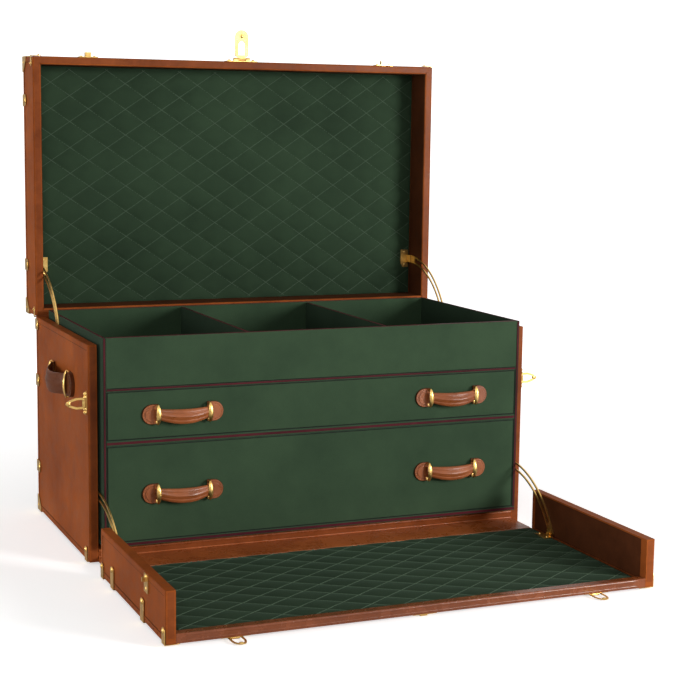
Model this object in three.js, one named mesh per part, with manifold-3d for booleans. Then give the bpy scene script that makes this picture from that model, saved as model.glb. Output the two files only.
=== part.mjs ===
// Footlocker: a leather-covered trunk with a lift-up lid, a drop-down front and a fitted case
// of two drawers under a divided tray. Millimetres, X along the width, Y towards the back,
// Z up from the floor. Stored open: lid upright, front lying flat, drawers shut.
import * as THREE from 'three';
import { mergeVertices } from 'three/addons/utils/BufferGeometryUtils.js';
import Module from 'manifold-3d';

const wasm = await Module();
wasm.setup();

// ---------------------------------------------------------------- driving dimensions
const halfWidth = 450; // centre plane to the outer face of an end wall
const depth = 445; // body, front rim to back
const bodyHeight = 406;
const frontDepth = 87; // how far the closed front stands ahead of the body's rim
const lidDepth = 94.75;
const wall = 16;
const glide = 6; // runners that lift the underside off the floor
const gap = 0.3; // between fixed neighbours

const bodyTop = glide + bodyHeight;
const inside = halfWidth - wall; // centre plane to the inner face of an end wall
const floorTop = glide + 25;
const sillTop = glide + 8.6;

const lidAxis = { y: depth, z: bodyTop + 0.25 };
const lidRim = depth + 0.25;
const lidBack = lidRim + lidDepth;
const lidTop = lidAxis.z + depth + frontDepth;
const liningFace = 512.5;

const frontAxis = { y: -frontDepth, z: glide };
const boardTop = glide + 8;
const frontEdge = frontAxis.y - bodyHeight + 0.4;
const frontQuiltTop = 19;

const caseHalf = 428.7;
const caseBoard = 5.8;
const caseBay = caseHalf - caseBoard; // half the clear width inside the case
const caseFace = -22.8;
const caseBack = 424;
const caseTop = 426.7;
const caseFloor = 44.2;
const railBottom = 227;
const railTop = 236;
const trayBottom = 328;
const trayFloor = 333.5;
const dividerX = 143;
const backInside = caseBack - caseBoard - gap;

const stayPlane = [430, 432.7]; // the gap between an end wall and the case
const stayHalf = 8.1;
const slotHalf = 4.7;
const lidStay = { y: 503, z: 309, radius: 200, pivot: 90, end: 167, slot: [99, 164] };
const frontStay = { y: 9, z: -69, radius: 198.6, pivot: 152.4, end: 73, slot: [145, 76] };
const studHole = { y: 315, z: 377 };

const latchX = 334; // front loops and their lid catches
const pullX = 278;
const sideLatch = { y: 10.5, z: 304, out: 4.9, length: 35.1 };
const frontLatch = { y: -487, z: 2.8, length: 35 };
const haspAxis = { y: 452, z: lidTop + 5 };

// ---------------------------------------------------------------- looks
const look = (color, roughness, metalness = 0) =>
  () => new THREE.MeshStandardMaterial({ color, roughness, metalness });
const tanLeather = look(0x8c4a28, 0.5);
const darkLeather = look(0x40200f, 0.6);
const greenSuede = look(0x33503c, 0.9);
const quilting = look(0x2b4532, 0.9);
const brass = look(0xb08a45, 0.35, 1);
const gripLeather = look(0x7b3d20, 0.5);
const wood = look(0x6b4a2c, 0.7);

// ---------------------------------------------------------------- shape helpers
function box([x0, x1], [y0, y1], [z0, z1]) {
  const geometry = new THREE.BoxGeometry(x1 - x0, y1 - y0, z1 - z0);
  return geometry.translate((x0 + x1) / 2, (y0 + y1) / 2, (z0 + z1) / 2);
}

// Span on one side of the centre plane, given as distances from it.
function across(side, inner, outer) {
  return side > 0 ? [inner, outer] : [-outer, -inner];
}

// Along 'x' the outline is drawn in Y,Z; along 'y' in X,Z; along 'z' in X,Y.
function extrude(outline, axis, [from, to], curveSegments = 5) {
  const geometry = new THREE.ExtrudeGeometry(outline, {
    depth: to - from,
    bevelEnabled: false,
    curveSegments,
  });
  if (axis === 'x') return geometry.rotateX(Math.PI / 2).rotateZ(Math.PI / 2).translate(from, 0, 0);
  if (axis === 'y') return geometry.rotateX(Math.PI / 2).translate(0, to, 0);
  return geometry.translate(0, 0, from);
}

function rod(axis, radius, [from, to], [a, b], segments = 6) {
  const outline = new THREE.Shape().absarc(a, b, radius, 0, 2 * Math.PI);
  return extrude(outline, axis, [from, to], segments);
}

function toSolid(geometry) {
  const bare = geometry.clone();
  bare.deleteAttribute('normal');
  bare.deleteAttribute('uv');
  const merged = mergeVertices(bare);
  return new wasm.Manifold(new wasm.Mesh({
    numProp: 3,
    vertProperties: new Float32Array(merged.attributes.position.array),
    triVerts: new Uint32Array(merged.index.array),
  }));
}

function toGeometry(solid) {
  const { vertProperties, triVerts } = solid.getMesh();
  const geometry = new THREE.BufferGeometry();
  geometry.setAttribute('position', new THREE.BufferAttribute(vertProperties, 3));
  geometry.setIndex(new THREE.BufferAttribute(triVerts, 1));
  return geometry.toNonIndexed();
}

function join(...geometries) {
  return toGeometry(geometries.map(toSolid).reduce((sum, solid) => sum.add(solid)));
}

function cut(base, ...tools) {
  return toGeometry(tools.map(toSolid).reduce((rest, tool) => rest.subtract(tool), toSolid(base)));
}

const footlocker = new THREE.Group();

function add(name, geometry, material) {
  geometry.computeVertexNormals();
  const mesh = new THREE.Mesh(geometry, material());
  mesh.name = name;
  footlocker.add(mesh);
}

const sides = [['left', -1], ['right', 1]];

// ---------------------------------------------------------------- body shell
function addBody() {
  for (const [name, side] of sides) {
    const x = across(side, inside, halfWidth);
    add(`body_${name}_side`, box(x, [0, depth], [glide, bodyTop]), tanLeather);
  }
  const x = [-inside + gap, inside - gap];
  add('body_back', box(x, [depth - wall, depth], [glide, bodyTop]), tanLeather);
  const runners = sides.map(([, side]) => box(across(side, 330, 380), [20, 420], [0, glide + 1]));
  const floor = box(x, [0, depth - wall - gap], [glide, floorTop]);
  add('body_floor', join(floor, ...runners), darkLeather);
  add('sill', box(x, [frontAxis.y + 8.6, -gap], [glide, sillTop]), tanLeather);
}

// ---------------------------------------------------------------- fitted case
function addCase() {
  const full = [-caseHalf, caseHalf];
  const bay = [-caseBay + gap, caseBay - gap];
  const runners = sides.map(([, side]) =>
    box(across(side, 300, 350), [10, 410], [floorTop + gap, 38]));
  const base = box(full, [caseFace, caseBack], [37, caseFloor]);
  add('case_base', join(base, ...runners), greenSuede);
  for (const [name, side] of sides) {
    const x = across(side, caseBay, caseHalf);
    add(`case_${name}_side`, box(x, [caseFace, caseBack], [caseFloor + gap, caseTop]), greenSuede);
  }
  const back = box(bay, [backInside + gap, caseBack], [caseFloor + gap, caseTop]);
  add('case_back', back, greenSuede);
  add('drawer_rail', box(bay, [caseFace, backInside], [railBottom, railTop]), greenSuede);
  add('tray_floor', box(bay, [caseFace, backInside], [trayBottom, trayFloor]), greenSuede);
  const fascia = box(bay, [caseFace, caseFace + 10], [trayFloor + gap, caseTop]);
  add('tray_front', fascia, greenSuede);
  for (const [name, side] of sides) {
    const x = across(side, dividerX - 3, dividerX + 3);
    const y = [caseFace + 10 + gap, backInside];
    add(`tray_divider_${name}`, box(x, y, [trayFloor + gap, caseTop - 2]), greenSuede);
  }
}

// ---------------------------------------------------------------- drawers
function addDrawer(name, bottom, top, pullZ) {
  const face = [caseFace, caseFace + 12];
  add(`${name}_front`, box([-421.9, 421.9], face, [bottom, top]), greenSuede);
  const y = [face[1] + gap, 400];
  const z = [bottom + 1, top - 12];
  const shell = box([-419.5, 419.5], y, z);
  const hollow = box([-411.5, 411.5], [y[0] + 8, y[1] - 8], [z[0] + 6, z[1] + 1]);
  add(`${name}_box`, cut(shell, hollow), wood);
  for (const [sideName, side] of sides) {
    const pull = grip({ loopX: 50, endX: 78, tabHeight: 36, reach: 22, sag: 18, radius: 8 });
    pull.translate(side * pullX, caseFace - gap, pullZ);
    add(`${name}_pull_${sideName}`, pull, gripLeather);
  }
}

// A leather grip held by two upright loops, with half-round end tabs lying on the wall. It
// lies along X and stands out towards -Y from the wall plane y = 0.
function grip({ loopX, endX, tabHeight, reach, sag, radius }) {
  const half = tabHeight / 2;
  const tabs = sides.map(([, side]) => {
    const tab = new THREE.Shape();
    const nose = side * (endX - half);
    const start = side * (-Math.PI / 2);
    tab.moveTo(side * (loopX - 3), -side * half);
    tab.lineTo(nose, -side * half);
    tab.absarc(nose, 0, half, start, start + Math.PI, false);
    tab.lineTo(side * (loopX - 3), side * half);
    return extrude(tab, 'y', [-4, 0]);
  });
  const loops = sides.map(([, side]) =>
    box(across(side, loopX - 4, loopX + 4), [-radius * 2 + 1, -1], [-half - 1, half + 1]));
  const path = new THREE.CatmullRomCurve3([
    new THREE.Vector3(-loopX - 2, -radius, 2),
    new THREE.Vector3(-loopX * 0.58, -reach * 0.8, -sag * 0.5),
    new THREE.Vector3(0, -reach, -sag),
    new THREE.Vector3(loopX * 0.58, -reach * 0.8, -sag * 0.5),
    new THREE.Vector3(loopX + 2, -radius, 2),
  ]);
  const round = new THREE.Shape().absarc(0, 0, radius, 0, 2 * Math.PI);
  const strap = new THREE.ExtrudeGeometry(round, { steps: 12, extrudePath: path, curveSegments: 6 });
  return join(strap, ...tabs, ...loops);
}

function addSideHandles() {
  for (const [name, side] of sides) {
    const handle = grip({ loopX: 67, endX: 135, tabHeight: 46, reach: 26, sag: 24, radius: 10 });
    handle.rotateZ(side * Math.PI / 2);
    handle.translate(side * (halfWidth + gap), 207, 319);
    add(`side_handle_${name}`, handle, gripLeather);
  }
}

// ---------------------------------------------------------------- lid
function addLid() {
  const x = [-inside + gap, inside - gap];
  const y = [lidRim, lidBack];
  for (const [name, side] of sides) {
    const end = box(across(side, inside, halfWidth), y, [lidAxis.z, lidTop]);
    add(`lid_${name}_wall`, end, tanLeather);
  }
  const hingeTop = lidAxis.z + wall;
  const frontFoot = lidTop - wall;
  add('lid_hinge_wall', box(x, y, [lidAxis.z, hingeTop]), darkLeather);
  add('lid_front_wall', box(x, y, [frontFoot, lidTop]), tanLeather);
  const field = [hingeTop + gap, frontFoot - gap];
  add('lid_board', box(x, [lidBack - wall, lidBack], field), tanLeather);
  add('lid_quilt', box(x, [liningFace, lidBack - wall - gap], field), quilting);
}

// ---------------------------------------------------------------- drop front
function addFront() {
  const x = [-inside + gap, inside - gap];
  const board = box(x, [frontEdge + wall + gap, frontAxis.y], [glide, boardTop]);
  const runners = sides.map(([, side]) => box(across(side, 80, 280), [-470, -440], [0, glide + 1]));
  add('front_board', join(board, ...runners), tanLeather);
  add('front_rim', box(x, [frontEdge, frontEdge + wall], [glide, glide + wall]), tanLeather);
  for (const [name, side] of sides) {
    const cheek = box(
      across(side, inside, halfWidth),
      [frontEdge, frontAxis.y],
      [glide, glide + frontDepth - gap],
    );
    add(`front_cheek_${name}`, cheek, tanLeather);
  }
  const quiltY = [frontEdge + wall + gap, frontAxis.y - 11];
  add('front_quilt', box([-425, 425], quiltY, [boardTop + gap, frontQuiltTop]), quilting);
}

// ---------------------------------------------------------------- slotted stays
// A path running round a strip of the given half width that follows an arc, with round ends.
function bentStrip(target, centre, radius, half, fromDegrees, toDegrees) {
  const [a, b] = [fromDegrees, toDegrees].sort((p, q) => p - q).map(THREE.MathUtils.degToRad);
  const endCentre = (angle) =>
    [centre.y + radius * Math.cos(angle), centre.z + radius * Math.sin(angle)];
  target.absarc(centre.y, centre.z, radius + half, a, b, false);
  target.absarc(...endCentre(b), half, b, b + Math.PI, false);
  target.absarc(centre.y, centre.z, radius - half, b, a, true);
  target.absarc(...endCentre(a), half, a + Math.PI, a + 2 * Math.PI, false);
  return target;
}

function pivotOf(stay) {
  const angle = THREE.MathUtils.degToRad(stay.pivot);
  return [stay.y + stay.radius * Math.cos(angle), stay.z + stay.radius * Math.sin(angle)];
}

function stayBand(stay, side) {
  const { radius, pivot, end, slot } = stay;
  const outline = bentStrip(new THREE.Shape(), stay, radius, stayHalf, pivot, end);
  outline.holes.push(bentStrip(new THREE.Path(), stay, radius, slotHalf, ...slot));
  outline.holes.push(new THREE.Path().absarc(...pivotOf(stay), 3.1, 0, 2 * Math.PI));
  return extrude(outline, 'x', across(side, ...stayPlane), 10);
}

// The ear and pin that carry a stay's end, beside the band.
function pivotEar(stay, side, reachY, reachZ) {
  const [y, z] = pivotOf(stay);
  const ear = box(across(side, 426.5, 429.3), [y - 8, y + reachY], [z - reachZ, z + 8]);
  const pin = rod('x', 2.6, across(side, 428, 433.4), [y, z]);
  return [ear, pin];
}

function addStays() {
  for (const [name, side] of sides) {
    add(`lid_stay_${name}`, stayBand(lidStay, side), brass);
    add(`front_stay_${name}`, stayBand(frontStay, side), brass);

    const [, lidZ] = pivotOf(lidStay);
    const lidPlate = box(
      across(side, 411, 429.3),
      [liningFace - 2.5, liningFace - gap],
      [lidZ - 20, lidZ + 20],
    );
    add(`lid_stay_bracket_${name}`, join(lidPlate, ...pivotEar(lidStay, side, 8, 8)), brass);

    const [frontY, frontZ] = pivotOf(frontStay);
    const top = frontQuiltTop + gap;
    const frontPlate = box(across(side, 405, 424), [frontY - 20, frontY + 20], [top, top + 2]);
    const arm = box(across(side, 423, 428), [frontY - 4, frontY + 4], [top, frontZ + 4]);
    const frontBracket = join(frontPlate, arm, ...pivotEar(frontStay, side, 8, 7.5));
    add(`front_stay_bracket_${name}`, frontBracket, brass);

    const stud = rod('x', 3, across(side, caseHalf + gap, 433.4), [studHole.y, studHole.z]);
    add(`stay_stud_${name}`, stud, brass);
  }
}

// ---------------------------------------------------------------- latches and catches
// Outline of a loop whose near bar is the pivot at the origin and whose window narrows
// towards the nose; it is drawn towards +Y. A smaller point gives a sharper nose, and rim is
// the width of metal left round the window.
function loopOutline(length, half, bar, point, rim) {
  const ring = (target, halfWide, near, shoulder, nose) => {
    target.moveTo(-halfWide, near);
    target.lineTo(halfWide, near);
    target.lineTo(halfWide, shoulder);
    target.quadraticCurveTo(halfWide * point, nose, 0, nose);
    target.quadraticCurveTo(-halfWide * point, nose, -halfWide, shoulder);
    target.lineTo(-halfWide, near);
    return target;
  };
  const outline = ring(new THREE.Shape(), half, -bar, length * 0.45, length);
  outline.holes.push(ring(new THREE.Path(), half - rim, bar, length * 0.42, length - rim * 1.5));
  return outline;
}

function addSideLatches() {
  const { y, z, out, length } = sideLatch;
  for (const [name, side] of sides) {
    const foot = new THREE.Shape();
    foot.moveTo(y - 4.5, z - 17);
    foot.lineTo(y, z - 23);
    foot.lineTo(y + 4.5, z - 17);
    foot.lineTo(y + 4.5, z + 17);
    foot.lineTo(y, z + 23);
    foot.lineTo(y - 4.5, z + 17);
    const plate = extrude(foot, 'x', across(side, halfWidth + gap, halfWidth + 2.5));
    const pivotX = side * (halfWidth + out);
    const knuckle = rod('z', 4.2, [z - 5.6, z + 5.6], [pivotX, y]);
    const bore = rod('z', 2.1, [z - 8, z + 8], [pivotX, y]);
    add(`side_latch_plate_${name}`, cut(join(plate, knuckle), bore), brass);

    const loop = extrude(loopOutline(length, 10.5, 1.2, 0.45, 4), 'z', [-1.2, 1.2]);
    loop.rotateZ(-side * Math.PI / 2).rotateX(Math.PI / 2);
    loop.translate(pivotX, y, z);
    add(`side_latch_loop_${name}`, loop, brass);

    const catchZ = frontAxis.z + frontDepth;
    const catchY = frontAxis.y - (z - glide);
    const skin = across(side, halfWidth + gap, halfWidth + 2.3);
    const base = box(skin, [catchY - 11, catchY + 11], [catchZ - 33, catchZ - 2]);
    const post = box(
      across(side, halfWidth + 2, halfWidth + 9),
      [catchY - 2.8, catchY + 2.8],
      [catchZ - 14, catchZ - 7],
    );
    add(`cheek_catch_${name}`, join(base, post), brass);
  }
}

function addFrontLatches() {
  const { y, z, length } = frontLatch;
  for (const [name, side] of sides) {
    const x = side * latchX;
    const plate = box([x - 24.5, x + 24.5], [-490.5, -479], [4.4, glide - gap]);
    const knuckle = rod('x', 2.5, [x - 7, x + 7], [y, z]);
    const bore = rod('x', 1.45, [x - 8, x + 8], [y, z]);
    const plateCut = cut(join(plate, knuckle), bore);
    add(`front_latch_plate_${name}`, plateCut, brass);

    const loop = extrude(loopOutline(length, 12.5, 0.8, 0.9, 3.2), 'z', [-0.8, 0.8]);
    loop.rotateZ(Math.PI).translate(x, y, z);
    add(`front_latch_loop_${name}`, loop, brass);

    const rise = [lidTop + gap, lidTop + 2];
    const base = box([x - 19, x + 19], [lidRim + 1.5, lidRim + 21], rise);
    const block = box([x - 6, x + 6], [lidRim + 6, lidRim + 15], [lidTop + 1, lidTop + 11]);
    add(`lid_catch_${name}`, join(base, block), brass);
  }
}

// ---------------------------------------------------------------- hasp and lock
function addHasp() {
  const { y, z } = haspAxis;
  const plate = box([-34, 34], [lidRim + 1, lidRim + 22], [lidTop + gap, lidTop + 2]);
  const ears = sides.map(([, side]) => rod('x', 3.8, across(side, 9.2, 18), [y, z]));
  const feet = sides.map(([, side]) =>
    box(across(side, 9.2, 18), [y - 3.8, y + 3.8], [lidTop + 1, z]));
  const bore = rod('x', 2.1, [-19, 19], [y, z]);
  add('hasp_plate', cut(join(plate, ...ears, ...feet), bore), brass);

  const leaf = new THREE.Shape();
  leaf.moveTo(-8.5, z);
  leaf.lineTo(8.5, z);
  leaf.lineTo(8.5, z + 4.3);
  leaf.lineTo(14.5, z + 7.5);
  leaf.lineTo(14.5, z + 47.5);
  leaf.absarc(0, z + 47.5, 14.5, 0, Math.PI, false);
  leaf.lineTo(-14.5, z + 7.5);
  leaf.lineTo(-8.5, z + 4.3);
  const slot = new THREE.Path();
  slot.moveTo(-8, z + 9);
  slot.lineTo(8, z + 9);
  slot.absarc(0, z + 31, 8, 0, Math.PI, false);
  leaf.holes.push(slot);
  const barrel = rod('x', 2.8, [-8.5, 8.5], [y, z]);
  const pin = rod('x', 1.7, [-18, 18], [y, z]);
  const knob = new THREE.SphereGeometry(6, 12, 8).translate(0, y + 3, z + 49);
  add('hasp', join(extrude(leaf, 'y', [y - 1.2, y + 1.2]), barrel, pin, knob), brass);

  const lockBar = box([-22, 22], [-490.5, -470], [4, glide - gap]);
  const lockBox = box([-6.5, 6.5], [-487, -469], [0.6, 5]);
  add('lock_plate', join(lockBar, lockBox), brass);
}

addBody();
addCase();
addDrawer('lower_drawer', caseFloor + 1.3, railBottom - 1.3, 133);
addDrawer('upper_drawer', railTop + 1.3, trayBottom - 1, 282);
addSideHandles();
addLid();
addFront();
addStays();
addSideLatches();
addFrontLatches();
addHasp();

// The origin is on the floor at the centre of the open trunk's footprint.
footlocker.position.set(0, -9, 0);

export default footlocker;
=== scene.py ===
"""Looks for the open footlocker: leather shell, suede fitted case, quilted linings and brass."""
import math

import bmesh
import bpy
from mathutils import Matrix, Vector, noise


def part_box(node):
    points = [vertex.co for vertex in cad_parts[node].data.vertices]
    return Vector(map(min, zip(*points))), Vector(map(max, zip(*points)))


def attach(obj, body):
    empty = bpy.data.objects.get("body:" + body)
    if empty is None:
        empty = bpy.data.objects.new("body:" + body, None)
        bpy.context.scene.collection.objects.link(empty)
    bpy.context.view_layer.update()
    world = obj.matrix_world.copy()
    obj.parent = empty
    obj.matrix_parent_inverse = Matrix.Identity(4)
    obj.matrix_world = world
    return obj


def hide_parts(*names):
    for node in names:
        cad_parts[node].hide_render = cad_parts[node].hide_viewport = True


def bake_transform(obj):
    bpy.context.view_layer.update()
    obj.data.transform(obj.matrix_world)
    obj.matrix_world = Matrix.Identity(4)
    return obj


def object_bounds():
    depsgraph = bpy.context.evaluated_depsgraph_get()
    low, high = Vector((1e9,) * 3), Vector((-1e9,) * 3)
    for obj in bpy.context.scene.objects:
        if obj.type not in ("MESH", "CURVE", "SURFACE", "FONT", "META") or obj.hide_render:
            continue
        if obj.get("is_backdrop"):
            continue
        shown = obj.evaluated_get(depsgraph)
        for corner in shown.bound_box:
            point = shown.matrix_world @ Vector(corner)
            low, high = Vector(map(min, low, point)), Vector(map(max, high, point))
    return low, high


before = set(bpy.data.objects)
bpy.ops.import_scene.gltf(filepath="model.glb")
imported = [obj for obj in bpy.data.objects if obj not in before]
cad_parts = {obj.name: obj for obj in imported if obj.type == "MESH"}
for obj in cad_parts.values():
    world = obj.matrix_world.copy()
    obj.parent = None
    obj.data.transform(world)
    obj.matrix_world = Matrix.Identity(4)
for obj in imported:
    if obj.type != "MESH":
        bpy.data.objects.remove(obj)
cad_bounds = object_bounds()

# ------------------------------------------------------------------ places
# Work is in millimetres with x from the centre plane, y from the body's front rim and z from
# the floor; FRONT is where that rim lies in the frame.
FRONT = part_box("body_left_side")[0][1] * 1000


def cad(node):
    """A CAD node's lowest and highest corners, in millimetres from the front rim."""
    low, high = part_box(node)
    return [[value * 1000 - (FRONT if i == 1 else 0) for i, value in enumerate(p)] for p in (low, high)]


BODY_LOW, BODY_HIGH = cad("body_right_side")
LID_LOW, LID_HIGH = cad("lid_right_wall")
CHEEK_LOW, CHEEK_HIGH = cad("front_cheek_right")
HALF = BODY_HIGH[0]
WALL = BODY_HIGH[0] - BODY_LOW[0]
INSIDE = HALF - WALL
UNDERSIDE = BODY_LOW[2]
BACK = BODY_HIGH[1]
SIDES = (("left", -1), ("right", 1))
BINDING_RISE = 0.8  # how far the bindings stand off the shell


# ------------------------------------------------------------------ materials
def shader(name):
    """A new node material, its tree and its shader."""
    material = bpy.data.materials.new(name)
    material.use_nodes = True
    tree = material.node_tree
    return material, tree, tree.nodes["Principled BSDF"]


def textured(tree, kind, scale, **settings):
    """A texture node in object coordinates (metres), with its Scale and other inputs set."""
    node = tree.nodes.new(kind)
    place = tree.nodes.get("place") or tree.nodes.new("ShaderNodeTexCoord")
    place.name = "place"
    tree.links.new(place.outputs["Object"], node.inputs["Vector"])
    node.inputs["Scale"].default_value = scale
    for key, value in settings.items():
        node.inputs[key].default_value = value
    return node


def ramp(tree, source, *stops):
    """A colour ramp from (position, colour) stops; a grey level may be given as one number."""
    node = tree.nodes.new("ShaderNodeValToRGB")
    tree.links.new(source, node.inputs["Fac"])
    while len(node.color_ramp.elements) < len(stops):
        node.color_ramp.elements.new(0.5)
    for element, (position, colour) in zip(node.color_ramp.elements, stops):
        level = colour if isinstance(colour, tuple) else (colour,) * 3
        element.position = position
        element.color = (*level, 1)
    return node.outputs["Color"]


def blend_colour(tree, mode, amount, first, second):
    """Mixes two colours; amount is a number or a socket."""
    node = tree.nodes.new("ShaderNodeMix")
    node.data_type = "RGBA"
    node.blend_type = mode
    if isinstance(amount, float):
        node.inputs["Factor"].default_value = amount
    else:
        tree.links.new(amount, node.inputs["Factor"])
    tree.links.new(first, node.inputs["A"])
    tree.links.new(second, node.inputs["B"])
    return node.outputs["Result"]


def bumps(tree, bsdf, *layers):
    """Stacks bump layers, each (height socket, strength, depth in metres)."""
    normal = None
    for height, strength, depth in layers:
        node = tree.nodes.new("ShaderNodeBump")
        node.inputs["Strength"].default_value = strength
        node.inputs["Distance"].default_value = depth
        tree.links.new(height, node.inputs["Height"])
        if normal:
            tree.links.new(normal, node.inputs["Normal"])
        normal = node.outputs["Normal"]
    tree.links.new(normal, bsdf.inputs["Normal"])


def leather(name, light, dark, gloss=0.42, grain=1.0, shine=0.03):
    """Waxed hide: cloudy tone, fine pebbled grain, creases and uneven polish."""
    material, tree, bsdf = shader(name)
    cloud = textured(tree, "ShaderNodeTexNoise", 5.0, Detail=6.0, Roughness=0.62)
    streak = textured(tree, "ShaderNodeTexNoise", 34.0, Detail=4.0, Roughness=0.7, Distortion=0.6)
    pores = textured(tree, "ShaderNodeTexVoronoi", 620.0, Randomness=1.0)
    tone = ramp(tree, cloud.outputs["Fac"], (0.3, dark), (0.72, light))
    worn = ramp(tree, streak.outputs["Fac"], (0.35, 0.78), (0.7, 1.12))
    tone = blend_colour(tree, "MULTIPLY", 0.8, tone, worn)
    speck = ramp(tree, pores.outputs["Distance"], (0.0, 0.72), (0.25, 1.0))
    tone = blend_colour(tree, "MULTIPLY", 0.55, tone, speck)
    tree.links.new(tone, bsdf.inputs["Base Color"])
    polish = ramp(tree, streak.outputs["Fac"], (0.3, gloss - 0.09), (0.75, gloss + 0.13))
    tree.links.new(polish, bsdf.inputs["Roughness"])
    bsdf.inputs["Specular IOR Level"].default_value = shine
    bumps(tree, bsdf, (pores.outputs["Distance"], 0.30 * grain, 0.0004),
          (streak.outputs["Fac"], 0.22 * grain, 0.0012))
    return material


def suede(name, light, dark, sheen=0.35):
    """Brushed nap: soft patches where it lies differently, over a fine fibre speckle."""
    material, tree, bsdf = shader(name)
    patch = textured(tree, "ShaderNodeTexNoise", 7.0, Detail=5.0, Roughness=0.6)
    fibre = textured(tree, "ShaderNodeTexNoise", 950.0, Detail=3.0, Roughness=0.75)
    tone = ramp(tree, patch.outputs["Fac"], (0.28, dark), (0.75, light))
    fleck = ramp(tree, fibre.outputs["Fac"], (0.25, 0.62), (0.8, 1.3))
    tone = blend_colour(tree, "MULTIPLY", 0.6, tone, fleck)
    tree.links.new(tone, bsdf.inputs["Base Color"])
    bsdf.inputs["Roughness"].default_value = 0.92
    bsdf.inputs["Specular IOR Level"].default_value = 0.15
    bsdf.inputs["Sheen Weight"].default_value = sheen
    bsdf.inputs["Sheen Roughness"].default_value = 0.45
    bsdf.inputs["Sheen Tint"].default_value = (0.35, 0.6, 0.42, 1)
    bumps(tree, bsdf, (patch.outputs["Fac"], 0.15, 0.002), (fibre.outputs["Fac"], 0.35, 0.0005))
    return material


def polished_brass(name):
    """Lacquered brass with faint tarnish clouds and fine wear scratches."""
    material, tree, bsdf = shader(name)
    cloud = textured(tree, "ShaderNodeTexNoise", 60.0, Detail=4.0, Roughness=0.6)
    scratch = textured(tree, "ShaderNodeTexNoise", 420.0, Detail=5.0, Distortion=2.5)
    tone = ramp(tree, cloud.outputs["Fac"], (0.3, (0.60, 0.36, 0.10)), (0.7, (0.86, 0.59, 0.21)))
    tree.links.new(tone, bsdf.inputs["Base Color"])
    bsdf.inputs["Metallic"].default_value = 1.0
    worn = ramp(tree, scratch.outputs["Fac"], (0.3, 0.26), (0.75, 0.42))
    tree.links.new(worn, bsdf.inputs["Roughness"])
    bumps(tree, bsdf, (scratch.outputs["Fac"], 0.08, 0.0003))
    return material


def oiled_wood(name):
    """Straight-grained drawer timber."""
    material, tree, bsdf = shader(name)
    rings = textured(tree, "ShaderNodeTexWave", 20.0, Distortion=3.0, Detail=2.0)
    rings.bands_direction = "Z"
    fibre = textured(tree, "ShaderNodeTexNoise", 300.0, Detail=4.0)
    tone = ramp(tree, rings.outputs["Fac"], (0.1, (0.16, 0.08, 0.035)), (0.9, (0.33, 0.18, 0.085)))
    fleck = ramp(tree, fibre.outputs["Fac"], (0.3, 0.75), (0.7, 1.1))
    tree.links.new(blend_colour(tree, "MULTIPLY", 0.6, tone, fleck), bsdf.inputs["Base Color"])
    bsdf.inputs["Roughness"].default_value = 0.55
    bumps(tree, bsdf, (fibre.outputs["Fac"], 0.2, 0.0004))
    return material


def twisted_thread(name, light, dark):
    """Waxed thread with the slanting bands of its twist."""
    material, tree, bsdf = shader(name)
    twist = textured(tree, "ShaderNodeTexWave", 520.0, Distortion=1.5)
    tree.links.new(ramp(tree, twist.outputs["Fac"], (0.2, dark), (0.8, light)), bsdf.inputs["Base Color"])
    bsdf.inputs["Roughness"].default_value = 0.75
    bumps(tree, bsdf, (twist.outputs["Fac"], 0.4, 0.0003))
    return material


TAN = leather("tan_leather", (0.37, 0.094, 0.020), (0.20, 0.044, 0.009))
EDGE = leather("burnished_edge", (0.29, 0.072, 0.017), (0.16, 0.036, 0.009), 0.36, 1.0, 0.08)
SILL = leather("glazed_leather", (0.50, 0.135, 0.034), (0.26, 0.062, 0.015), 0.28, 1.2, 0.35)
# dark leather for the edge pins, also used as painted shade and shadow: the bindings' dark lines, the lid's
# and cheeks' inner sheets and the rims round the grip tabs
DARK_PINS_AND_PAINTED_SHADOW = leather("dark_leather", (0.105, 0.032, 0.012), (0.05, 0.015, 0.006), 0.5)
HANDLE = leather("handle_leather", (0.16, 0.045, 0.014), (0.06, 0.017, 0.006), 0.34, 1.4, 0.1)
RIM = leather("rolled_rim_leather", (0.26, 0.066, 0.016), (0.15, 0.035, 0.009), 0.24, 1.0, 0.5)
GRIP = leather("grip_leather", (0.42, 0.125, 0.035), (0.20, 0.050, 0.014), 0.32, 1.4, 0.4)
RED_EDGE = leather("red_edge_paint", (0.11, 0.018, 0.026), (0.045, 0.010, 0.014), 0.4, 0.6)
SUEDE = suede("green_suede", (0.041, 0.075, 0.038), (0.026, 0.050, 0.026), 0.17)
# a darker copy of the green suede: painted shade for the case's side boards and dividers
PAINTED_SHADE_SUEDE = suede("painted_shade_suede", (0.020, 0.038, 0.020), (0.013, 0.026, 0.014), 0.05)
QUILT = suede("quilted_suede", (0.029, 0.055, 0.028), (0.018, 0.035, 0.018), 0.08)
# a darker copy of the quilted suede for the front quilt, which faces up: painted shade
FRONT_QUILT_PAINTED_SHADE = suede("front_quilted_suede_painted_shade", (0.020, 0.038, 0.019), (0.012, 0.024, 0.012), 0.05)
# near-black suede for the dark lines in the gaps round the drawers and under the tray front: painted shadow
PAINTED_SHADOW_LINE = suede("painted_shadow_line", (0.014, 0.017, 0.013), (0.007, 0.009, 0.007), 0.0)
BRASS = polished_brass("brass")
WOOD = oiled_wood("drawer_wood")
THREAD = twisted_thread("tan_thread", (0.16, 0.05, 0.016), (0.08, 0.024, 0.008))
SEAM = twisted_thread("green_thread", (0.058, 0.10, 0.056), (0.034, 0.062, 0.034))


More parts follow.
